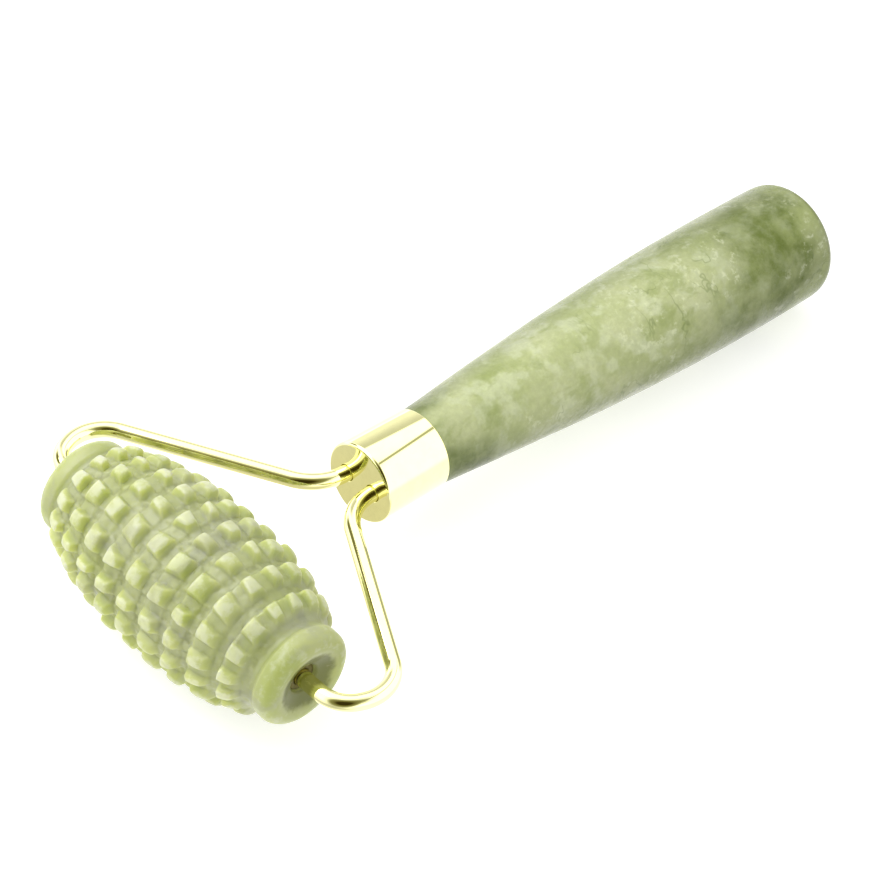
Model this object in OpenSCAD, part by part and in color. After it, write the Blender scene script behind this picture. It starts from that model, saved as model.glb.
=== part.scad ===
// Jade face roller: a turned stone handle, a metal ferrule and two bent wire arms that carry a studded
// stone roller.
// The origin is the centre of the handle's flat butt. +X runs along the handle to the roller, +Y is the
// roller's axis towards the left arm and +Z is up, out of the plane of the arms.

/* [Handle] */
// Length of the handle that shows, from the butt to the ferrule
handle_l = 82.4; // [70:0.2:95]
// Radius of the handle at its fullest
handle_r = 10; // [9:0.05:11]
// Radius of the handle where it meets the ferrule
neck_r = 6.05; // [5.8:0.01:6.2]
// Length over which the handle swells from the neck to its fullest
swell_l = 67; // [55:1:68]
// Length at the butt end over which the handle draws in a little
draw_in_l = 12; // [8:1:14]
// How much the radius draws in before the butt's rounded edge
draw_in = 0.15; // [0.05:0.05:0.4]
// Radius of the rounded edge around the flat butt
butt_edge_r = 2.4; // [1.5:0.1:3.5]
// Radius of the tenon that sits inside the ferrule
tenon_r = 5.5; // [5.3:0.05:5.55]
// Length of the tenon
tenon_l = 7.2; // [5:0.2:8]

/* [Ferrule] */
// Outside radius of the ferrule
ferrule_r = 6.4; // [6.22:0.01:6.6]
// Length of the ferrule
ferrule_l = 12; // [11:0.2:14]
// Radius of the socket that takes the tenon
socket_r = 5.55; // [5.55:0.01:5.7]
// Thickness of the front plate that holds the wires
plate_t = 1.6; // [1.2:0.1:2.2]
// Radius of the polished edge around the front plate
ferrule_edge_r = 0.5; // [0.3:0.1:0.8]
// Radius of the two holes for the wires
wire_hole_r = 1.3; // [1.28:0.01:1.34]

/* [Wire arms] */
// Radius of the wire
wire_r = 1.25; // [1.2:0.01:1.26]
// Distance of each wire hole from the middle of the ferrule
wire_offset = 2.7; // [2.4:0.1:3]
// Length of wire that stands inside the ferrule, behind its plate
wire_tail = 2.2; // [1.5:0.1:2.6]
// Distance from the ferrule's face to where the wire turns outwards
first_corner = 4.9; // [4.8:0.1:6]
// Half the width across the corners of the two hooks
hook_y = 33.6; // [32.6:0.1:36]
// How far each hook's corner lies behind the roller's axis
hook_back = 8.6; // [8.4:0.1:9.6]
// Where the wire turns onto the roller's axis, measured from the middle
turn_in_y = 29.9; // [29.6:0.1:30.4]
// Radii of the three bends, from the ferrule to the roller
first_bend_r = 8; // [4:0.1:8.2]
second_bend_r = 6.4; // [5:0.1:6.4]
third_bend_r = 5; // [4:0.1:5]

/* [Roller] */
// Distance from the ferrule's face to the roller's axis
roller_reach = 31.7; // [30:0.1:34]
// Length of the roller
roller_l = 49.2; // [49:0.1:49.6]
// Radius over the studs in the middle of the roller
stud_r = 12.7; // [12:0.1:13.4]
// How much the studs drop from the middle to the end of the studded length
stud_drop = 3.3; // [2.4:0.1:3.6]
// How sharply that drop comes near the ends
drop_power = 2.6; // [2:0.1:3]
// Number of rings of studs along the roller
rings = 9; // [9:1:9]
// Distance from ring to ring
ring_pitch = 4.6; // [4.4:0.01:4.6]
// Width of a stud at its top, along the roller
stud_top_w = 1.8; // [1.6:0.1:2.8]
// Width of a stud at its foot, along the roller
stud_foot_w = 3.4; // [3.4:0.1:4.1]
// Depth of the grooves between the rings
ring_depth = 1.7; // [1.7:0.1:2.2]
// Number of studs around each ring
rows = 16; // [12:1:18]
// Width of the notches that part the studs of one ring
notch_w = 2.4; // [1.2:0.1:2.6]
// Depth of those notches
notch_depth = 1.5; // [1:0.1:1.6]
// Angle of the first row of studs
row_turn = 10.5; // [0:0.5:22.5]
// Radius of the plain collar at each end
collar_r = 7.7; // [7.5:0.1:8.2]
// Length of each collar
collar_l = 2.9; // [2.6:0.1:3]
// Radius of the neck between a collar and the studs
collar_neck_r = 7.3; // [6.9:0.1:7.4]
// Radius of the collar's rounded edge
collar_edge_r = 1.8; // [0.8:0.1:1.8]
// Radius of the shallow dish in each end face
dish_r = 5.6; // [4.5:0.1:5.7]
// Depth of that dish
dish_depth = 1.2; // [0.3:0.1:1.4]
// Radius of the hole through the roller
bore_r = 2.2; // [2.1:0.01:2.4]

/* [Bushes] */
// Length of each bush
bush_l = 8; // [6:0.5:9]
// How far each bush sits below the roller's end
bush_recess = 1.6; // [1.5:0.1:2.5]
// Thickness of the adhesive around a bush
bush_glue = 0.02; // [0.01:0.01:0.04]
// Clearance between a bush and the wire that turns in it
running_gap = 0.05; // [0.02:0.01:0.09]

/* [Hidden] */
$fn = 96;

stone = [0.55, 0.62, 0.38];
pale_stone = [0.72, 0.77, 0.5];
gold = [0.9, 0.8, 0.45];
dark_gold = [0.6, 0.48, 0.2];
amber = [0.85, 0.75, 0.45];

face_x = handle_l + ferrule_l;            // front face of the ferrule
plate_x = face_x - plate_t;               // back of its plate
tenon_x = handle_l + tenon_l;             // end of the tenon
roller_x = face_x + roller_reach;         // the roller's axis
glue_gap = 0.02;                          // keeps bonded faces from coinciding
cut = 1;                                  // how far a cutter runs past what it cuts
swell_steps = 20;                         // stations along the handle's swell
edge_steps = 6;                           // stations around a rounded edge
half_l = roller_l / 2;
drop_half = 19.5;                         // where the whole of stud_drop is reached
stub_end_y = half_l - bush_recess - bush_l - 0.5;  // the wire ends just past its bush
notch_top_r = stud_r + cut;
bend_swell = 0.01;                        // the wire is a touch fatter in its bends
bend_overlap = 0.2;                       // so each straight can end just inside a bend

// Radius of the handle at a distance from the ferrule
function handle_radius(d) = neck_r + (handle_r - neck_r) * sin(90 * min(1, d / swell_l))
    - draw_in * pow(max(0, d - (handle_l - draw_in_l)) / draw_in_l, 2);

// Radius over the studs at a distance along the roller from its middle
function tip_radius(t) = stud_r - stud_drop * pow(abs(t) / drop_half, drop_power);

// Points of a rounded convex edge, from angle a0 to angle a1 about a centre
function edge(centre, r, a0, a1) =
    [for (i = [0:edge_steps]) let (a = a0 + (a1 - a0) * i / edge_steps) centre + r * [cos(a), sin(a)]];

// Turns an outline of [radius, distance along X] points about the X axis
module lathe_x(outline) {
    rotate([0, 90, 0]) rotate_extrude() polygon(outline);
}

// A wire bent in the XY plane: a path of corners, and a bend radius for each inner corner
function heading(a, b) = atan2(b.y - a.y, b.x - a.x);
function turn(path, i) =
    let (t = heading(path[i], path[i + 1]) - heading(path[i - 1], path[i]))
    t > 180 ? t - 360 : t < -180 ? t + 360 : t;
function setback(path, bends, i) =
    i == 0 || i == len(path) - 1 ? 0 : bends[i - 1] * tan(abs(turn(path, i)) / 2);

module straight_wire(from, angle, length) {
    translate([from.x, from.y, 0]) rotate([0, 0, angle]) rotate([0, 90, 0]) cylinder(h = length, r = wire_r);
}

module bend_wire(from, angle, by, r) {
    side = sign(by);
    translate([from.x, from.y, 0]) rotate([0, 0, angle]) translate([0, side * r, 0])
        rotate([0, 0, side > 0 ? -90 : 90 + by]) rotate_extrude(angle = abs(by))
            translate([r, 0]) circle(r = wire_r + bend_swell);
}

module bent_wire(path, bends) {
    for (i = [0:len(path) - 2]) {
        a = heading(path[i], path[i + 1]);
        along = [cos(a), sin(a)];
        from = path[i] + along * setback(path, bends, i);
        to = path[i + 1] - along * setback(path, bends, i + 1);
        start = i == 0 ? from : from - along * bend_overlap;
        end = i == len(path) - 2 ? to : to + along * bend_overlap;
        straight_wire(start, a, norm(end - start));
        if (i < len(path) - 2) bend_wire(to, a, turn(path, i + 1), bends[i]);
    }
}

module arm(side) {
    path = [
        [plate_x - wire_tail, side * wire_offset],
        [face_x + first_corner, side * wire_offset],
        [roller_x - hook_back, side * hook_y],
        [roller_x, side * turn_in_y],
        [roller_x, side * stub_end_y]
    ];
    bent_wire(path, [first_bend_r, second_bend_r, third_bend_r]);
}

module bush(side) {
    outer_y = half_l - bush_recess;
    translate([roller_x, side * (outer_y - bush_l / 2), 0]) rotate([90, 0, 0]) difference() {
        cylinder(h = bush_l, r = bore_r - bush_glue, center = true);
        cylinder(h = bush_l + 2 * cut, r = wire_r + running_gap, center = true);
    }
}

module handle() {
    butt = edge([handle_radius(handle_l) - butt_edge_r, butt_edge_r], butt_edge_r, -90, 0);
    swell = [for (i = [1:swell_steps]) let (x = butt_edge_r + (handle_l - butt_edge_r) * i / swell_steps)
        [handle_radius(handle_l - x), x]];
    tenon = [[tenon_r, handle_l], [tenon_r, tenon_x], [0, tenon_x]];
    color(stone) lathe_x(concat([[0, 0]], butt, swell, tenon));
}

module ferrule() {
    front = edge([ferrule_r - ferrule_edge_r, face_x - ferrule_edge_r], ferrule_edge_r, 0, 90);
    color(gold) difference() {
        lathe_x(concat([[0, plate_x], [socket_r, plate_x], [socket_r, handle_l], [ferrule_r, handle_l]],
            front, [[0, face_x]]));
        for (side = [-1, 1])
            translate([plate_x - cut, side * wire_offset, 0]) rotate([0, 90, 0])
                cylinder(h = plate_t + 2 * cut, r = wire_hole_r);
    }
}

module epoxy_plug() {
    plug_l = plate_x - tenon_x - 2 * glue_gap;
    color(amber) difference() {
        translate([tenon_x + glue_gap, 0, 0]) rotate([0, 90, 0])
            cylinder(h = plug_l, r = socket_r - glue_gap);
        for (side = [-1, 1])
            translate([plate_x - wire_tail - glue_gap, side * wire_offset, 0]) rotate([0, 90, 0])
                cylinder(h = wire_tail + cut, r = wire_r + glue_gap);
    }
}

module left_arm() {
    color(gold) arm(1);
}

module right_arm() {
    color(gold) arm(-1);
}

// One end of the roller's outline, from the neck beside the studs to the bore, for the end at side * half_l
function roller_end(side) =
    let (
        collar = edge([collar_r - collar_edge_r, half_l - collar_edge_r], collar_edge_r, 0, 90),
        outline = concat([[collar_neck_r, half_l - collar_l - 0.5], [collar_r, half_l - collar_l]], collar,
            [[dish_r, half_l], [0, half_l - dish_depth]])
    )
    [for (i = [0:len(outline) - 1]) side > 0 ? outline[i]
        : let (p = outline[len(outline) - 1 - i]) [p.x, -p.y]];

// The rings of studs before they are notched: each is a flat-topped ridge that follows the barrel
function ridges() =
    let (ridge = [[-stud_foot_w, ring_depth], [-stud_top_w, 0], [stud_top_w, 0], [stud_foot_w, ring_depth]])
    [for (i = [0:rings - 1], e = ridge)
        let (t = (i - (rings - 1) / 2) * ring_pitch + e[0] / 2) [tip_radius(t) - e[1], t]];

// The cutter for one lengthwise row of notches, standing on the local X axis. It stays clear of the necks
module notch() {
    reach = (rings - 1) / 2 * ring_pitch + stud_foot_w / 2 + 0.1;
    floor_points = [for (i = [0:rings]) let (t = max(-reach, min(reach, (i - rings / 2) * ring_pitch)))
        [max(tip_radius(t) - notch_depth, collar_neck_r + 0.05), t]];
    rotate([90, 0, 0]) linear_extrude(height = notch_w, center = true)
        polygon(concat(floor_points, [[notch_top_r, reach], [notch_top_r, -reach]]));
}

module roller() {
    color(pale_stone) translate([roller_x, 0, 0]) rotate([-90, 0, 0]) difference() {
        rotate_extrude() polygon(concat(roller_end(-1), ridges(), roller_end(1)));
        cylinder(h = roller_l + 2 * cut, r = bore_r, center = true);
        for (k = [0:rows - 1]) rotate([0, 0, row_turn + (k + 0.5) * 360 / rows]) notch();
    }
}

module left_bush() {
    color(dark_gold) bush(1);
}

module right_bush() {
    color(dark_gold) bush(-1);
}

handle();
ferrule();
epoxy_plug();
left_arm();
right_arm();
roller();
left_bush();
right_bush();
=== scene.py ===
"""Looks of the jade face roller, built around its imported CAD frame. Lengths are in millimetres until to_mesh()."""
import math
import random

import bpy
from mathutils import Matrix, Vector, noise


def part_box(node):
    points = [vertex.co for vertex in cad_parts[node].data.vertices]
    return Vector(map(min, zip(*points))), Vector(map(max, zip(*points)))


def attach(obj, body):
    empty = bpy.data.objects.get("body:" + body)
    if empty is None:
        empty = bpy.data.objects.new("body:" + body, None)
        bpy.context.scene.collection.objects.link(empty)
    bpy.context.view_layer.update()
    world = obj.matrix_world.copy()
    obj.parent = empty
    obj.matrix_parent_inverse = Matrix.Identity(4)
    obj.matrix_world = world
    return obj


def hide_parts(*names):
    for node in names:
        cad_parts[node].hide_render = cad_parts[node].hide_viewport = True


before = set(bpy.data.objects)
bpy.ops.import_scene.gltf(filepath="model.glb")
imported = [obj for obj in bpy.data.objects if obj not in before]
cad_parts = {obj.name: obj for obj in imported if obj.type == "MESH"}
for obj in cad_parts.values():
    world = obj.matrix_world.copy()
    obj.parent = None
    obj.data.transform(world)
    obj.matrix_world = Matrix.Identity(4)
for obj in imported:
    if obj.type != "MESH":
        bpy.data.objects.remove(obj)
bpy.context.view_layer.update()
MM = 0.001
TAU = 2 * math.pi


# ---------------------------------------------------------------- sizes, read from the frame

def node_box(node):
    """Lowest and highest corner of a CAD node, in millimetres."""
    low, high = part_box(node)
    return low / MM, high / MM


FERRULE_LOW, FERRULE_HIGH = node_box("ferrule")
HANDLE_HIGH = node_box("handle")[1]
ROLLER_LOW, ROLLER_HIGH = node_box("roller")
BUSH_LOW, BUSH_HIGH = node_box("left_bush")
PLUG_LOW, PLUG_HIGH = node_box("epoxy_plug")
ARM_LOW, ARM_HIGH = node_box("left_arm")

HANDLE_L = FERRULE_LOW.x                    # where the stone goes into the ferrule
TENON_X = HANDLE_HIGH.x
HANDLE_R = HANDLE_HIGH.z
FACE_X = FERRULE_HIGH.x
FERRULE_R = FERRULE_HIGH.z
SOCKET_R = PLUG_HIGH.z + 0.02
PLATE_X = PLUG_HIGH.x + 0.02                # back of the ferrule's front plate
ROLLER_X = (ROLLER_LOW.x + ROLLER_HIGH.x) / 2
HALF_L = ROLLER_HIGH.y
BORE_R = BUSH_HIGH.z + 0.02
WIRE_R = 1.25

NECK_R = 6.05
SWELL_L = 67.0
BUTT_EDGE_R = 2.4
DRAW_IN = 0.15
DRAW_IN_L = 12.0

STUD_R = 12.7
STUD_DROP = 3.3
DROP_HALF = 19.5
DROP_POWER = 2.6
RINGS = 9
RING_PITCH = 4.6
RING_SHIFT = -0.45
ROWS = 16
ROW_TURN = math.radians(10.5)
RING_DEPTH = 1.6
NOTCH_DEPTH = 1.58
COLLAR_R = 7.7
COLLAR_L = 2.9
COLLAR_EDGE_R = 1.8
COLLAR_NECK_R = 7.3
DISH_R = 5.6
DISH_DEPTH = 1.2


# ---------------------------------------------------------------- mesh tools

def to_mesh(name, points, faces, body, replaced, sharp=math.radians(38)):
    """A finished piece from points in millimetres: smooth shading, sharp only over its real corners."""
    mesh = bpy.data.meshes.new(name)
    mesh.from_pydata([Vector(p) * MM for p in points], [], faces)
    mesh.validate()
    mesh.update()
    mesh.polygons.foreach_set("use_smooth", [True] * len(mesh.polygons))
    mesh.set_sharp_from_angle(angle=sharp)
    piece = bpy.data.objects.new(name, mesh)
    bpy.context.scene.collection.objects.link(piece)
    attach(piece, body)
    if replaced:
        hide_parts(replaced)
    return piece


def grid_faces(rows, columns, closed_rows=False):
    """Quads of a grid whose columns close on themselves, and whose rows may too."""
    faces = []
    for i in range(rows if closed_rows else rows - 1):
        for k in range(columns):
            a, b = i * columns + k, i * columns + (k + 1) % columns
            c, d = ((i + 1) % rows) * columns + (k + 1) % columns, ((i + 1) % rows) * columns + k
            faces.append((a, b, c, d))
    return faces


def arc(centre, radius, start, end, steps):
    """Points along an arc in an (r, x) outline, angles in degrees."""
    angles = [math.radians(start + (end - start) * i / steps) for i in range(steps + 1)]
    return [(centre[0] + radius * math.cos(a), centre[1] + radius * math.sin(a)) for a in angles]


def lathe(outline, columns, place, closed=False):
    """Points and faces of an (r, x) outline turned about its axis. Open outlines end in a point at r = 0."""
    rings = outline if closed else outline[1:-1]
    points = [place(r, x, TAU * k / columns) for r, x in rings for k in range(columns)]
    faces = grid_faces(len(rings), columns, closed)
    if not closed:
        first, last = len(points), len(points) + 1
        points += [place(0, outline[0][1], 0), place(0, outline[-1][1], 0)]
        tail = (len(rings) - 1) * columns
        for k in range(columns):
            after = (k + 1) % columns
            faces.append((first, after, k))
            faces.append((last, tail + k, tail + after))
    return points, faces


def about_x(r, x, angle):
    return (x, r * math.cos(angle), r * math.sin(angle))


def smooth(value):
    """Smooth step of a value held between 0 and 1."""
    value = min(1.0, max(0.0, value))
    return value * value * (3 - 2 * value)


def soft_min(a, b, rounding):
    """The lesser of two values, with the corner where they cross rounded off."""
    near = max(rounding - abs(a - b), 0) / rounding
    return min(a, b) - near * near * rounding / 4


# ---------------------------------------------------------------- shader tools

class Graph:
    """A node tree, with short calls for the nodes used here."""

    def __init__(self, tree):
        self.tree = tree

    def node(self, kind, **settings):
        made = self.tree.nodes.new(kind)
        for key, value in settings.items():
            setattr(made, key, value)
        return made

    def link(self, source, target):
        self.tree.links.new(source, target)

    def feed(self, target, value):
        """Sets an input to a number or a colour, or links a socket to it."""
        if isinstance(value, bpy.types.NodeSocket):
            self.link(value, target)
        else:
            target.default_value = value

    def spread(self, value, low, high, to_low=0.0, to_high=1.0):
        """Maps low..high smoothly to to_low..to_high."""
        made = self.node("ShaderNodeMapRange", interpolation_type="SMOOTHSTEP")
        for name, number in (("From Min", low), ("From Max", high), ("To Min", to_low), ("To Max", to_high)):
            made.inputs[name].default_value = number
        self.link(value, made.inputs["Value"])
        return made.outputs["Result"]

    def math(self, operation, a, b=0.0):
        made = self.node("ShaderNodeMath", operation=operation)
        self.feed(made.inputs[0], a)
        self.feed(made.inputs[1], b)
        return made.outputs[0]

    def mix(self, share, a, b, blend="MIX"):
        made = self.node("ShaderNodeMix", data_type="RGBA", blend_type=blend)
        self.feed(made.inputs["Factor"], share)
        self.feed(made.inputs["A"], a)
        self.feed(made.inputs["B"], b)
        return made.outputs["Result"]

    def grey(self, value):
        """A colour whose three channels are all one value."""
        made = self.node("ShaderNodeCombineColor")
        for channel in range(3):
            self.link(value, made.inputs[channel])
        return made.outputs[0]

    def parts(self, vector):
        """The x, y and z of a vector."""
        made = self.node("ShaderNodeSeparateXYZ")
        self.link(vector, made.inputs[0])
        return made.outputs


class Shader(Graph):
    """A material around one Principled surface, in object coordinates."""

    def __init__(self, name):
        self.material = bpy.data.materials.new(name)
        self.material.use_nodes = True
        super().__init__(self.material.node_tree)
        self.surface = self.tree.nodes["Principled BSDF"]
        self.place = self.node("ShaderNodeTexCoord").outputs["Object"]

    def noise(self, scale, detail=4.0, roughness=0.55, distortion=0.0, place=None):
        """Noise of so many cells a millimetre, from 0 to 1."""
        made = self.node("ShaderNodeTexNoise")
        self.link(place or self.place, made.inputs["Vector"])
        made.inputs["Scale"].default_value = scale / MM
        made.inputs["Detail"].default_value = detail
        made.inputs["Roughness"].default_value = roughness
        made.inputs["Distortion"].default_value = distortion
        return made.outputs["Fac"]

    def millimetres(self, axis):
        """One object coordinate, in millimetres."""
        return self.math("MULTIPLY", self.parts(self.place)[axis], 1 / MM)

    def painted(self, name):
        """A value stored on the mesh's points."""
        return self.node("ShaderNodeAttribute", attribute_name=name).outputs["Fac"]

    def stretched(self, x=1.0, y=1.0, z=1.0, turn=(0, 0, 0)):
        """Object coordinates stretched and turned, for veins and streaks."""
        made = self.node("ShaderNodeMapping")
        made.inputs["Scale"].default_value = (x, y, z)
        made.inputs["Rotation"].default_value = [math.radians(t) for t in turn]
        self.link(self.place, made.inputs["Vector"])
        return made.outputs["Vector"]

    def bump(self, height, strength, depth):
        made = self.node("ShaderNodeBump")
        made.inputs["Strength"].default_value = strength
        made.inputs["Distance"].default_value = depth * MM
        self.link(height, made.inputs["Height"])
        self.link(made.outputs["Normal"], self.surface.inputs["Normal"])

    def set(self, **inputs):
        for name, value in inputs.items():
            self.feed(self.surface.inputs[name.replace("_", " ")], value)


def rgb(r, g, b):
    """A colour given as it looks on a screen, 0 to 255, turned to linear light."""
    def linear(c):
        c /= 255
        return c / 12.92 if c <= 0.04045 else ((c + 0.055) / 1.055) ** 2.4
    return (linear(r), linear(g), linear(b), 1)


# ---------------------------------------------------------------- materials

def handle_jade():
    """Polished mottled jade: pale clouds along the middle, an olive band near the butt and a few dark veins. Painted
    shade darkens the neck and the rims, and painted light brightens the parts facing the view.
    """
    s = Shader("polished_jade")
    along = s.millimetres("X")
    wander = s.spread(s.noise(0.07, 3, 0.55), 0.2, 0.8, -7, 7)
    lean = s.math("MULTIPLY", s.parts(s.place)["Z"], 0.35 / MM)
    reach = s.math("ADD", s.math("ADD", along, wander), lean)

    cloud = s.spread(s.noise(0.11, 4, 0.55, 0.2), 0.34, 0.66)
    base = s.mix(cloud, rgb(176, 185, 130), rgb(197, 203, 156))
    patch = s.spread(s.noise(0.27, 3, 0.5, 0.15), 0.47, 0.64, 0, 0.55)
    base = s.mix(patch, base, rgb(211, 217, 180))
    shade = s.spread(s.noise(0.19, 4, 0.6, 0.3, s.stretched(0.8, 1.2, 1.2, (40, 25, 10))), 0.52, 0.7, 0, 0.6)
    base = s.mix(shade, base, rgb(150, 162, 96))

    upper = s.math("ADD", s.math("MULTIPLY", s.millimetres("Z"), 0.91), s.math("MULTIPLY", s.millimetres("Y"), 0.42))
    band = s.math("MULTIPLY", s.spread(reach, 3, 11), s.spread(reach, 42, 11))
    band = s.math("MULTIPLY", band, s.spread(s.millimetres("Y"), -9, 1, 0.45, 1))
    mottle = s.spread(s.noise(0.2, 5, 0.6), 0.3, 0.6, 1, 0.55)
    base = s.mix(s.math("MULTIPLY", band, mottle), base, rgb(100, 114, 44))
    base = s.mix(s.spread(reach, 11, 2, 0, 0.75), base, rgb(150, 163, 86))
    # Painted shade: the neck by the ferrule is darkened all round except on the side turned towards the view, mottled.
    neck_painted_shade = s.math("MULTIPLY", s.spread(reach, 68, 82), s.spread(upper, 6.0, 4.7, 0.3, 0.9))
    base = s.mix(s.math("MULTIPLY", neck_painted_shade, mottle), base, rgb(112, 124, 72))

    vein = s.noise(0.13, 3, 0.5, 0.3, s.stretched(1.5, 0.8, 1.1, (20, 35, 60)))
    ridge = s.math("ABSOLUTE", s.math("SUBTRACT", vein, 0.5))
    faded = s.spread(s.noise(0.09, 2), 0.5, 0.62, 0, 0.4)
    base = s.mix(s.math("MULTIPLY", s.spread(ridge, 0.0, 0.014, 1, 0), faded), base, rgb(108, 124, 66))
    fleck = s.math("MULTIPLY", s.spread(s.noise(0.55, 4, 0.65), 0.54, 0.66, 0, 0.45), s.spread(s.noise(0.08, 2), 0.46, 0.6))
    base = s.mix(fleck, base, rgb(220, 224, 190))
    grain = s.spread(s.noise(1.1, 5, 0.7), 0.35, 0.7, 0.94, 1.05)
    base = s.mix(1.0, base, s.grey(grain), "MULTIPLY")
    # Painted light and shade: the stone is painted lighter where it faces the view and darker towards its rims.
    edge = s.spread(s.node("ShaderNodeLayerWeight").outputs["Facing"], 0.15, 0.7)
    base = s.mix(edge, s.mix(1.0, base, (1.1, 1.1, 1.1, 1), "MULTIPLY"), s.mix(1.0, base, (0.67, 0.67, 0.71, 1), "MULTIPLY"))
    s.set(Base_Color=base, Roughness=s.spread(s.noise(0.5), 0.3, 0.7, 0.22, 0.32), Specular_IOR_Level=0.1)
    s.set(Subsurface_Weight=0.4, Subsurface_Scale=1.5 * MM)
    s.surface.inputs["Subsurface Radius"].default_value = (1.0, 1.0, 0.55)
    s.bump(s.noise(0.8, 4, 0.6), 0.1, 0.04)
    return s.material


def roller_jade():
    """Carved pale jade: whitish on the studs' tops, yellow-green on their sides, greyer in the cuts. Painted shade
    darkens the end dishes towards the bore.
    """
    s = Shader("carved_jade")
    relief_and_dish_shade = s.math("ADD", s.painted("relief_and_dish_shade"), s.spread(s.noise(0.6, 4, 0.6), 0.3, 0.7, -0.16, 0.16))
    cloud = s.spread(s.noise(0.09, 4, 0.6, 0.3), 0.36, 0.62)
    side = s.mix(cloud, rgb(168, 177, 108), rgb(180, 186, 130))
    floor = s.mix(cloud, rgb(172, 179, 114), rgb(182, 187, 138))
    top = s.mix(cloud, rgb(190, 196, 156), rgb(196, 200, 170))
    base = s.mix(s.spread(relief_and_dish_shade, 0.08, 0.5), floor, side)
    base = s.mix(s.spread(relief_and_dish_shade, 0.66, 0.96), base, top)
    grey = s.noise(0.13, 5, 0.6, 0.4, s.stretched(1, 1, 1, (70, 15, 30)))
    base = s.mix(s.spread(grey, 0.52, 0.66, 0, 0.65), base, rgb(166, 169, 138))
    # Painted shade: values below 0 darken the end dishes towards the bore.
    base = s.mix(s.spread(relief_and_dish_shade, 0.0, -0.6), base, rgb(122, 127, 62))
    fine = s.noise(0.9, 5, 0.65, 0.2)
    base = s.mix(s.spread(fine, 0.58, 0.76, 0, 0.2), base, rgb(222, 226, 192))
    s.set(Base_Color=base, Roughness=s.spread(s.noise(0.9), 0.3, 0.7, 0.3, 0.46), IOR=1.58)
    s.set(Subsurface_Weight=1.0, Subsurface_Scale=4.5 * MM, Specular_IOR_Level=0.35)
    s.surface.inputs["Subsurface Radius"].default_value = (1.0, 1.0, 0.4)
    s.bump(s.noise(1.6, 5, 0.65), 0.2, 0.05)
    return s.material


def gold(name, colour, roughness, scratch):
    """Polished gold plating, with faint rub marks in its gloss."""
    s = Shader(name)
    worn = s.spread(s.noise(0.6, 5, 0.65), 0.35, 0.7)
    tint = s.mix(worn, colour, [c * 0.95 for c in colour[:3]] + [1])
    s.set(Base_Color=tint, Metallic=1.0, Roughness=s.math("MULTIPLY", s.math("ADD", worn, 1.0), roughness))
    s.bump(s.noise(2.5, 3), scratch, 0.01)
    return s.material


def amber_epoxy():
    """Set adhesive, slightly cloudy."""
    s = Shader("set_epoxy")
    base = s.mix(s.spread(s.noise(0.5, 4), 0.35, 0.65), rgb(222, 196, 130), rgb(206, 176, 104))
    s.set(Base_Color=base, Roughness=0.35, Subsurface_Weight=0.3, Subsurface_Scale=1 * MM)
    return s.material


# ---------------------------------------------------------------- handle

def handle_radius(from_ferrule):
    swell = math.sin(math.pi / 2 * min(1, from_ferrule / SWELL_L))
    draw = max(0, from_ferrule - (HANDLE_L - DRAW_IN_L)) / DRAW_IN_L
    return NECK_R + (HANDLE_R - NECK_R) * swell - DRAW_IN * draw ** 2


def make_handle():
    """The turned stone, from its flat butt to the tenon hidden in the ferrule, with hand-polished unevenness."""
    end_r = handle_radius(HANDLE_L)
    butt = arc((end_r - BUTT_EDGE_R, BUTT_EDGE_R), BUTT_EDGE_R, -90, 0, 14)
    flat = [(r * (end_r - BUTT_EDGE_R), 0) for r in (0, 0.25, 0.5, 0.75)]
    steps = 140
    shaft = [BUTT_EDGE_R + (HANDLE_L - BUTT_EDGE_R) * i / steps for i in range(1, steps + 1)]
    outline = flat + butt + [(handle_radius(HANDLE_L - x), x) for x in shaft]
    tenon_r = SOCKET_R - 0.05
    outline += [(tenon_r, HANDLE_L), (tenon_r, TENON_X - 0.4), (tenon_r - 0.4, TENON_X), (0, TENON_X)]

    def place(r, x, angle):
        p = Vector(about_x(r, x, angle))
        worn = 0.5 + 0.5 * noise.noise(p * 0.11) + 0.15 * noise.noise(p * 0.4)
        shown = smooth((HANDLE_L - x) / 6) * smooth(r / 4) * smooth(x / 2)
        return p * 1.0 - Vector((0, p.y, p.z)).normalized() * 0.07 * worn * shown if r > 0 else p

    points, faces = lathe(outline, 160, place)
    piece = to_mesh("handle_stone", points, faces, "handle_frame", "handle")
    piece.data.materials.append(handle_jade())


# ---------------------------------------------------------------- ferrule

WIRE_Y = 2.7
HOLE_R = 1.3
PLATE_EDGE_R = 0.5
HOLE_LIP_R = 0.22


def make_ferrule(material):
    """The metal cap: a tube with a flat front plate, a polished rounded edge and two lipped holes."""
    front = arc((FERRULE_R - PLATE_EDGE_R, FACE_X - PLATE_EDGE_R), PLATE_EDGE_R, 0, 90, 10)
    rear = arc((FERRULE_R - 0.18, HANDLE_L + 0.18), 0.18, -90, 0, 5)
    outline = [(0, PLATE_X), (SOCKET_R - 0.2, PLATE_X), (SOCKET_R, PLATE_X - 0.2), (SOCKET_R, HANDLE_L)]
    outline += rear + front + [(0, FACE_X)]
    points, faces = lathe(outline, 192, about_x)
    piece = to_mesh("ferrule_cap", points, faces, "handle_frame", "ferrule")
    piece.data.materials.append(material)
    for side in (-1, 1):
        drill(piece, side * WIRE_Y)
    piece.data.polygons.foreach_set("use_smooth", [True] * len(piece.data.polygons))
    piece.data.set_sharp_from_angle(angle=math.radians(20))


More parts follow.
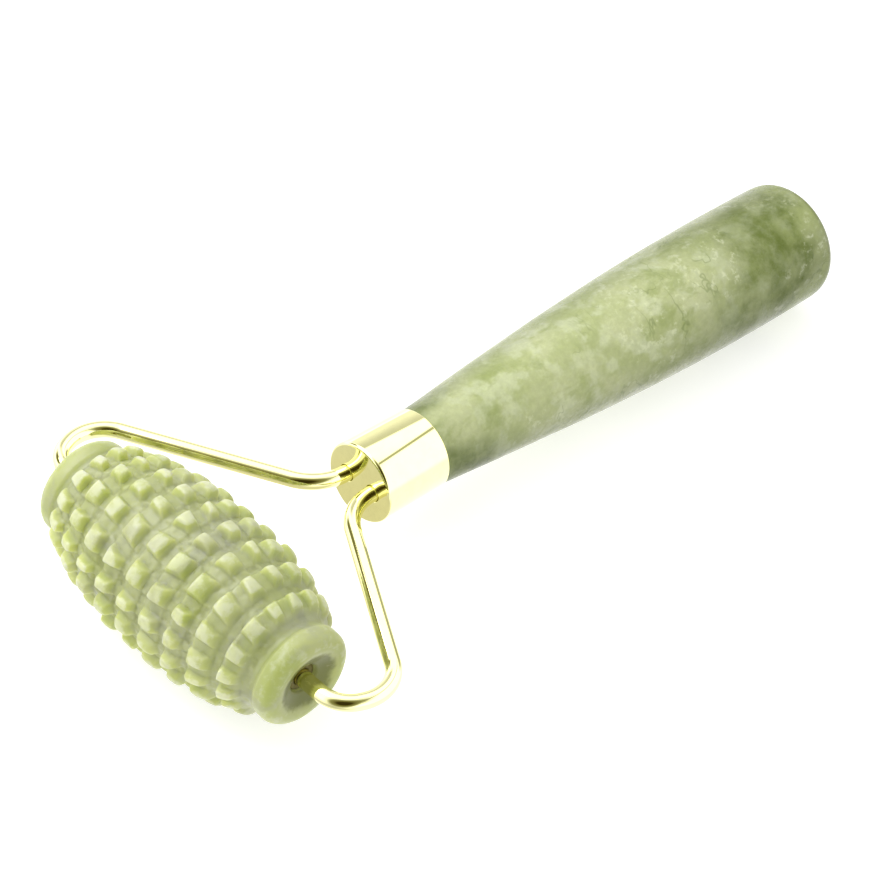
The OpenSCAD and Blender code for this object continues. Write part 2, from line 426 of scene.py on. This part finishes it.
def drill(piece, y):
    """Cuts a wire hole with a small rounded lip into the ferrule's plate."""
    lip = arc((HOLE_R + HOLE_LIP_R, FACE_X - HOLE_LIP_R), HOLE_LIP_R, 180, 90, 6)
    outline = [(0, PLATE_X - 1), (HOLE_R, PLATE_X - 1)] + lip + [(HOLE_R + HOLE_LIP_R, FACE_X + 1), (0, FACE_X + 1)]
    points, faces = lathe(outline, 64, lambda r, x, a: (x, y + r * math.cos(a), r * math.sin(a)))
    mesh = bpy.data.meshes.new("drill")
    mesh.from_pydata([Vector(p) * MM for p in points], [], faces)
    cutter = bpy.data.objects.new("drill", mesh)
    bpy.context.scene.collection.objects.link(cutter)
    cut = piece.modifiers.new("hole", "BOOLEAN")
    cut.operation, cut.solver, cut.object = "DIFFERENCE", "EXACT", cutter
    graph = bpy.context.evaluated_depsgraph_get()
    drilled = bpy.data.meshes.new_from_object(piece.evaluated_get(graph), depsgraph=graph)
    piece.modifiers.remove(cut)
    piece.data = drilled
    bpy.data.objects.remove(cutter)


# ---------------------------------------------------------------- wire arms

FIRST_CORNER = 4.9
HOOK_Y = 33.6
HOOK_BACK = 8.6
TURN_IN_Y = 29.9
BENDS = (8.0, 6.4, 5.0)
BUSH_END_Y = BUSH_LOW.y - 0.5
WIRE_TAIL = 2.2


def rounded_path(corners, bends):
    """Closely spaced points along a path of corners whose inner corners are rounded."""
    path = [corners[0]]
    for before, corner, after, bend in zip(corners, corners[1:], corners[2:], bends):
        arriving, leaving = (corner - before).normalized(), (after - corner).normalized()
        turn = arriving.angle(leaving)
        setback = bend * math.tan(turn / 2)
        side = (leaving - arriving * arriving.dot(leaving)).normalized()
        centre = corner - arriving * setback + side * bend
        steps = max(6, int(bend * turn / 0.3))
        for i in range(steps + 1):
            a = turn * i / steps
            path.append(centre - side * bend * math.cos(a) + arriving * bend * math.sin(a))
    path.append(corners[-1])
    dense = [path[0]]
    for a, b in zip(path, path[1:]):
        pieces = max(1, int((b - a).length / 0.6))
        dense += [a.lerp(b, (i + 1) / pieces) for i in range(pieces)]
    return dense


def sweep(path, radius, columns=48):
    """A round wire along a path that lies in the plane of the arms, with small rounded ends."""
    up = Vector((0, 0, 1))
    rings = []
    for i, p in enumerate(path):
        ahead = (path[min(i + 1, len(path) - 1)] - path[max(i - 1, 0)]).normalized()
        rings.append((p, ahead, radius))
    edge = 0.25
    start, end = rings[0], rings[-1]
    rings[0] = (start[0] + start[1] * edge, start[1], radius)
    rings.insert(0, (start[0], start[1], radius - edge))
    rings[-1] = (end[0] - end[1] * edge, end[1], radius)
    rings.append((end[0], end[1], radius - edge))
    points = []
    for p, ahead, r in rings:
        side = up.cross(ahead)
        points += [p + (side * math.cos(TAU * k / columns) + up * math.sin(TAU * k / columns)) * r
                   for k in range(columns)]
    faces = grid_faces(len(rings), columns)
    faces = [tuple(reversed(f)) for f in faces]
    faces.append(tuple(range(columns)))
    faces.append(tuple(reversed(range((len(rings) - 1) * columns, len(rings) * columns))))
    return points, faces


def make_arm(name, node, side, material):
    corners = [
        Vector((PLATE_X - WIRE_TAIL, side * WIRE_Y, 0)),
        Vector((FACE_X + FIRST_CORNER, side * WIRE_Y, 0)),
        Vector((ROLLER_X - HOOK_BACK, side * HOOK_Y, 0)),
        Vector((ROLLER_X, side * TURN_IN_Y, 0)),
        Vector((ROLLER_X, side * BUSH_END_Y, 0)),
    ]
    points, faces = sweep(rounded_path(corners, BENDS), WIRE_R)
    piece = to_mesh(name, points, faces, "handle_frame", node)
    piece.data.materials.append(material)


# ---------------------------------------------------------------- roller

def tip_radius(t):
    return STUD_R - STUD_DROP * (abs(t) / DROP_HALF) ** DROP_POWER


class Cuts:
    """The hand-cut grooves and notches that leave the studs standing."""

    def __init__(self, rng):
        self.groove = [(g - RINGS / 2) * RING_PITCH + RING_SHIFT + rng.gauss(0, 0.07) for g in range(RINGS + 1)]
        self.wave = [(rng.gauss(0, 0.10), rng.random() * TAU, rng.gauss(0, 0.08), rng.random() * TAU)
                     for _ in range(RINGS + 1)]
        row = [rng.gauss(0, 0.034) for _ in range(ROWS)]
        self.notch = [[row[k] + rng.gauss(0, 0.018) for k in range(ROWS)] for _ in range(RINGS)]
        self.top = [[RING_DEPTH - abs(rng.gauss(0, 0.16)) for _ in range(ROWS)] for _ in range(RINGS)]
        self.tilt = [[(rng.gauss(0, 0.09), rng.gauss(0, 0.09)) for _ in range(ROWS)] for _ in range(RINGS)]
        self.skew = [[rng.gauss(0, 0.011) for _ in range(ROWS)] for _ in range(RINGS)]

    def groove_place(self, g, angle):
        once, once_at, twice, twice_at = self.wave[g]
        return self.groove[g] + once * math.sin(angle + once_at) + twice * math.sin(2 * angle + twice_at)

    def notch_angle(self, ring, k, along):
        """The notch after row k, as an angle, at a distance from the middle of the ring."""
        jitter = self.notch[ring][k % ROWS] + self.skew[ring][k % ROWS] * along
        return ROW_TURN + (k + 0.5) * TAU / ROWS + jitter

    def height(self, t, angle):
        """Height of the carved stone over the groove floors."""
        ring = min(RINGS - 1, max(0, round((t - RING_SHIFT) / RING_PITCH + (RINGS - 1) / 2)))
        tip = tip_radius(t)
        up, down = t - self.groove_place(ring, angle), self.groove_place(ring + 1, angle) - t
        along = (up - down) / 2
        row = round((angle - ROW_TURN) * ROWS / TAU)
        row += (angle > self.notch_angle(ring, row, along)) - (angle < self.notch_angle(ring, row - 1, along))
        after = self.notch_angle(ring, row, along) - angle
        before = angle - self.notch_angle(ring, row - 1, along)
        ridge = RING_DEPTH * min(rise(up, *GROOVE), rise(down, *GROOVE))
        body = RING_DEPTH - NOTCH_DEPTH + RING_LEFT * smooth((ring - 5.5) / 2.5)
        block = body + (RING_DEPTH - body) * min(rise(after * STUD_R, *NOTCH), rise(before * STUD_R, *NOTCH))
        across = (after - before) / 2 * tip
        tilt = self.tilt[ring][row % ROWS]
        top = self.top[ring][row % ROWS] + tilt[0] * along - tilt[1] * across - CROWN * (along ** 2 + across ** 2)
        return FULLNESS * soft_min(soft_min(ridge, block, ARRIS), max(top, LOWEST_TOP), ARRIS)


STUDDED_HALF = 20.3
GROOVE = (0.62, 0.85)                       # half width of a ring groove's floor, and width of the slope beside it
NOTCH = (0.88, 0.75)                       # the same for the notches between the rows
RING_LEFT = 0.42                            # how much shallower the notches are near the left end
ARRIS = 0.65                                 # rounding of the studs' edges
LOWEST_TOP = 0.9
FULLNESS = 1.18                             # makes up for the height that the rounding takes off
CROWN = 0.17                                # how much the studs' tops are domed, in mm per square mm


def rise(distance, floor, run):
    """How far up a cut's side is, 0 to 1, at a distance from the middle of the cut."""
    return smooth((distance - floor) / run)


def roller_outline():
    """(r, t, relief) from inside the bore round one end, along the outside and back. Studded points have no r. Relief
    below 0 is painted shade in the end dishes.
    """
    collar_t = HALF_L - COLLAR_L
    lip_r, lip_t = COLLAR_R - COLLAR_EDGE_R, HALF_L - COLLAR_EDGE_R
    end = [(BORE_R, HALF_L - 9, 0), (BORE_R, HALF_L - 2.5, 0), (BORE_R, HALF_L - DISH_DEPTH - 0.3, 0)]
    for f in [i / 14 for i in range(1, 14)]:
        r = BORE_R + (DISH_R - BORE_R) * f
        # The dish's values fall below 0 towards the bore, which paints shade there.
        end.append((r, HALF_L - DISH_DEPTH * (1 - smooth(f * 0.9 + 0.1)), 1.3 * f * f - 1.0))
    end += [(r, t, 0.7) for r, t in arc((lip_r, lip_t), COLLAR_EDGE_R, 90, 0, 14)]
    end += [(COLLAR_R, lip_t + (collar_t - lip_t) * f, 0.68) for f in (0.35, 0.7)]
    end += [(COLLAR_R - 0.35 * smooth(f), collar_t + 0.1 - 0.7 * f, 0.58 - 0.15 * f) for f in (0, 0.3, 0.6, 0.9)]
    end += [(COLLAR_NECK_R + 0.06, collar_t - 0.9, 0.35), (COLLAR_NECK_R + 0.02, collar_t - 1.2, 0.2)]
    steps = 19 * RINGS
    middle = [(None, STUDDED_HALF * (1 - 2 * i / steps), 0) for i in range(steps + 1)]
    return end + middle + [(r, -t, relief_and_dish_shade * 0.5) for r, t, relief_and_dish_shade in reversed(end)]


def make_roller():
    cuts = Cuts(random.Random(5623))
    columns = 22 * ROWS
    points, reliefs_and_dish_shade = [], []
    outline = roller_outline()
    for r, t, relief_and_dish_shade in outline:
        for k in range(columns):
            angle = TAU * k / columns
            if r is None:
                height = cuts.height(t, angle)
                radius = tip_radius(t) - RING_DEPTH + height
                reliefs_and_dish_shade.append(height / RING_DEPTH)
            else:
                radius = r
                reliefs_and_dish_shade.append(relief_and_dish_shade)
            p = Vector((math.sin(angle) * radius, t, math.cos(angle) * radius))
            if radius > BORE_R + 0.4:
                rough = noise.noise(p * 0.9) * 0.03 + noise.noise(p * 0.28) * 0.06
                if r is None:
                    rough += noise.noise(p * 1.3) * 0.12 * (1 - height / RING_DEPTH)
                p -= Vector((p.x, 0, p.z)).normalized() * (0.06 - rough)
            points.append((p.x + ROLLER_X, p.y, p.z))
    faces = grid_faces(len(outline), columns, True)
    piece = to_mesh("roller_stone", points, faces, "roller_assembly", "roller", math.radians(60))
    piece.data.attributes.new("relief_and_dish_shade", "FLOAT", "POINT").data.foreach_set("value", reliefs_and_dish_shade)
    piece.data.materials.append(roller_jade())


# ---------------------------------------------------------------- bushes

def make_bush(name, side, material):
    """A turned sleeve with rounded lips, in one end of the roller's bore."""
    low, high = BUSH_LOW.y, BUSH_HIGH.y
    inner, outer, lip = WIRE_R + 0.05, BUSH_HIGH.z, 0.18
    outline = arc((outer - lip, high - lip), lip, 0, 90, 5) + arc((inner + lip, high - lip), lip, 90, 180, 5)
    outline += arc((inner + lip, low + lip), lip, 180, 270, 5) + arc((outer - lip, low + lip), lip, 270, 360, 5)
    points, faces = lathe(outline, 96, lambda r, t, a: (ROLLER_X + r * math.sin(a), side * t, r * math.cos(a)), True)
    if side < 0:
        faces = [tuple(reversed(f)) for f in faces]
    piece = to_mesh(name + "_sleeve", points, faces, "roller_assembly", name)
    piece.data.materials.append(material)


# ---------------------------------------------------------------- stage, light and camera

def towards(azimuth, elevation):
    """A unit vector, from degrees round from +X towards +Y and degrees up."""
    a, e = math.radians(azimuth), math.radians(elevation)
    return Vector((math.cos(e) * math.cos(a), math.cos(e) * math.sin(a), math.sin(e)))


def along(g, way, direction):
    """How far a ray's direction points along a given direction."""
    made = g.node("ShaderNodeVectorMath", operation="DOT_PRODUCT")
    g.link(way, made.inputs[0])
    made.inputs[1].default_value = direction
    return made.outputs["Value"]


def blob(g, way, azimuth, elevation, reach, soft):
    """1 within some degrees of a direction, falling to 0 over a soft border."""
    inner, outer = math.cos(math.radians(reach)), math.cos(math.radians(reach + soft))
    return g.spread(along(g, way, towards(azimuth, elevation)), outer, inner)


def opening(g, way):
    """Distance from the middle of the tent's front opening, where the camera stands: 1 at its leaning oval edge."""
    middle = towards(45, 38)
    across = Vector((0, 0, 1)).cross(middle).normalized()
    up = middle.cross(across)
    side = g.math("MULTIPLY", along(g, way, across - 0.25 * up), 2.0)
    high = g.math("MULTIPLY", g.math("ADD", along(g, way, up), 0.05), 1.43)
    squares = g.math("ADD", g.math("POWER", g.math("ABSOLUTE", side), 2), g.math("POWER", g.math("ABSOLUTE", high), 2))
    behind = g.spread(along(g, way, middle), 0.1, -0.1, 0, 9)
    return g.math("ADD", g.math("SQRT", squares), behind)


def mirrored_tent(g, way):
    """What polished metal sees of the tent in a direction: white cloth, a few dimmer parts and the dark opening."""
    z = g.parts(way)["Z"]
    front = g.math("MULTIPLY", g.spread(g.parts(way)["X"], 0.1, 0.6), g.spread(z, -0.3, -0.6))
    tone = g.math("SUBTRACT", g.spread(z, -0.2, 0.0, 1.5, 2.0), g.math("MULTIPLY", front, 0.75))
    wall = g.math("MULTIPLY", blob(g, way, -129, 22, 19, 5), g.spread(z, -0.25, 0.05))
    wall_tone = g.spread(z, 0.2, 0.65, 1.1, 0.7)
    tone = g.math("ADD", tone, g.math("MULTIPLY", wall, g.math("SUBTRACT", wall_tone, tone)))
    for azimuth, elevation, reach, soft, least in ((-76, 27, 8, 14, 0.2), (-166, 5, 8, 16, 0.45)):
        dim = blob(g, way, azimuth, elevation, reach, soft)
        tone = g.math("ADD", tone, g.math("MULTIPLY", dim, g.math("SUBTRACT", least, tone)))
    seam = g.math("ABSOLUTE", along(g, way, Vector((0.524, -0.671, 0.524))))
    seam = g.math("MULTIPLY", g.spread(seam, 0.015, 0.065, 1, 0), g.spread(z, 0.45, 0.6))
    tone = g.math("MULTIPLY", tone, g.math("SUBTRACT", 1.0, g.math("MULTIPLY", seam, 0.75)))
    away = opening(g, way)
    lit = g.math("POWER", g.spread(away, 0.8, 1.45), 1.4)
    dark = g.spread(away, 0.4, 0.85, 0.04, 0.24)
    tone = g.math("ADD", dark, g.math("MULTIPLY", lit, g.math("SUBTRACT", tone, dark)))
    warm = g.node("ShaderNodeCombineColor")
    for channel, (least, power) in enumerate(((1.0, 0.0), (0.3, 0.14), (0.75, 0.65))):
        share = g.math("POWER", g.math("MINIMUM", g.math("DIVIDE", tone, least), 1.0), power)
        g.link(g.math("MULTIPLY", tone, share), warm.inputs[channel])
    return warm.outputs[0]


def lit_paper():
    """White paper lit from below. Polished metal sees it as part of the tent, with a painted shadow beside the
    ferrule.
    """
    s = Shader("lit_paper")
    s.set(Base_Color=(0.7, 0.7, 0.7, 1), Roughness=0.9, Specular_IOR_Level=0.0)
    rays = s.node("ShaderNodeLightPath").outputs
    s.set(Emission_Color=(1, 1, 1, 1), Emission_Strength=s.spread(rays["Is Camera Ray"], 0, 1, 0.42, 0.62))
    from_ferrule = s.node("ShaderNodeVectorMath", operation="DISTANCE")
    s.link(s.place, from_ferrule.inputs[0])
    from_ferrule.inputs[1].default_value = (FACE_X * MM, 0, 0)
    back = s.node("ShaderNodeVectorMath", operation="SCALE")
    s.link(s.node("ShaderNodeNewGeometry").outputs["Incoming"], back.inputs[0])
    back.inputs["Scale"].default_value = -1
    # Painted shadow: metal sees the paper dimmer and warmer within a few centimetres of the ferrule.
    away = s.spread(from_ferrule.outputs["Value"], 12 * MM, 45 * MM)
    away = s.math("MAXIMUM", away, s.spread(s.parts(back.outputs[0])["X"], 0.1, -0.3))
    seen = s.node("ShaderNodeEmission")
    s.link(s.mix(away, (0.75, 0.72, 0.58, 1), mirrored_tent(s, back.outputs[0])), seen.inputs["Color"])
    either = s.node("ShaderNodeMixShader")
    s.link(rays["Is Glossy Ray"], either.inputs[0])
    s.link(s.surface.outputs[0], either.inputs[1])
    s.link(seen.outputs[0], either.inputs[2])
    s.link(either.outputs[0], s.tree.nodes["Material Output"].inputs["Surface"])
    return s.material


def make_floor():
    """A plain pale floor that the roller and the butt's lower edge both rest on."""
    butt_low = Vector((BUTT_EDGE_R, 0, -handle_radius(HANDLE_L - BUTT_EDGE_R)))
    roller_low = Vector((ROLLER_X, 0, ROLLER_LOW.z))
    along = (roller_low - butt_low).normalized()
    normal = along.cross(Vector((0, -1, 0))).normalized()
    if normal.z < 0:
        normal = -normal
    centre = roller_low * MM
    side = Vector((0, 1, 0))
    reach = 3.0
    corners = [centre + along * a * reach + side * b * reach for a, b in ((-1, -1), (1, -1), (1, 1), (-1, 1))]
    mesh = bpy.data.meshes.new("floor")
    mesh.from_pydata(corners, [], [(0, 1, 2, 3)])
    floor = bpy.data.objects.new("floor", mesh)
    bpy.context.scene.collection.objects.link(floor)
    mesh.materials.append(lit_paper())


def area_light(name, place, size, power, target=(70, 0, 0), colour=(1, 1, 1)):
    data = bpy.data.lights.new(name, "AREA")
    data.shape, data.size, data.energy, data.color = "SQUARE", size, power, colour
    lamp = bpy.data.objects.new(name, data)
    lamp.location = Vector(place) * MM
    lamp.rotation_euler = (Vector(target) * MM - lamp.location).to_track_quat("-Z", "Y").to_euler()
    bpy.context.scene.collection.objects.link(lamp)
    return lamp


def make_world():
    """A white studio tent, brightest above and on the side away from +Y. Polished metal sees its parts as well."""
    world = bpy.data.worlds.new("tent")
    bpy.context.scene.world = world
    world.use_nodes = True
    g = Graph(world.node_tree)
    g.tree.nodes.clear()
    ray = g.node("ShaderNodeLightPath").outputs
    way = g.node("ShaderNodeTexCoord").outputs["Generated"]
    soft = g.spread(along(g, way, Vector((0.4, -0.6, 0.7))), -0.9, 0.9, 0.3, 1.0)
    colour = g.mix(ray["Is Glossy Ray"], g.grey(soft), mirrored_tent(g, way))
    colour = g.mix(ray["Is Camera Ray"], colour, (1, 1, 1, 1))
    light = g.node("ShaderNodeBackground")
    g.link(colour, light.inputs["Color"])
    g.link(light.outputs[0], g.node("ShaderNodeOutputWorld").inputs["Surface"])


CAMERA_PLACE = Vector((335.8, 219.4, 308.9))
CAMERA_AIM = Vector((78.63, 0.35, 0.0))
CAMERA_ROLL = 8.66
CAMERA_LENS = 128.05


def make_camera():
    """The photograph's view: from above the left of the roller, looking back along the handle."""
    data = bpy.data.cameras.new("camera")
    data.lens, data.sensor_width, data.clip_start = CAMERA_LENS, 36, 0.01
    camera = bpy.data.objects.new("camera", data)
    bpy.context.scene.collection.objects.link(camera)
    ahead = (CAMERA_AIM - CAMERA_PLACE).normalized()
    right = ahead.cross(Vector((0, 0, 1))).normalized()
    turned = Matrix.Rotation(math.radians(-CAMERA_ROLL), 3, ahead) @ right
    up = turned.cross(ahead)
    camera.matrix_world = Matrix((turned, up, -ahead)).transposed().to_4x4()
    camera.location = CAMERA_PLACE * MM
    bpy.context.scene.camera = camera


# ---------------------------------------------------------------- build

plated = gold("gold_plate", rgb(250, 246, 182), 0.035, 0.05)
# Painted shade: the bushes' brass is made very dark to stand for the shade deep in the roller's bore.
brass_with_painted_shade = gold("brass_with_painted_shade", rgb(96, 90, 44), 0.3, 0.3)

make_handle()
make_ferrule(plated)
make_arm("left_wire", "left_arm", 1, plated)
make_arm("right_wire", "right_arm", -1, plated)
make_roller()
make_bush("left_bush", 1, brass_with_painted_shade)
make_bush("right_bush", -1, brass_with_painted_shade)

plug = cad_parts["epoxy_plug"]
plug.data.materials.clear()
plug.data.materials.append(amber_epoxy())

make_floor()
make_world()
area_light("key", (230, -250, 400), 0.35, 1.3)
make_camera()
bpy.context.scene.view_settings.view_transform = "Standard"
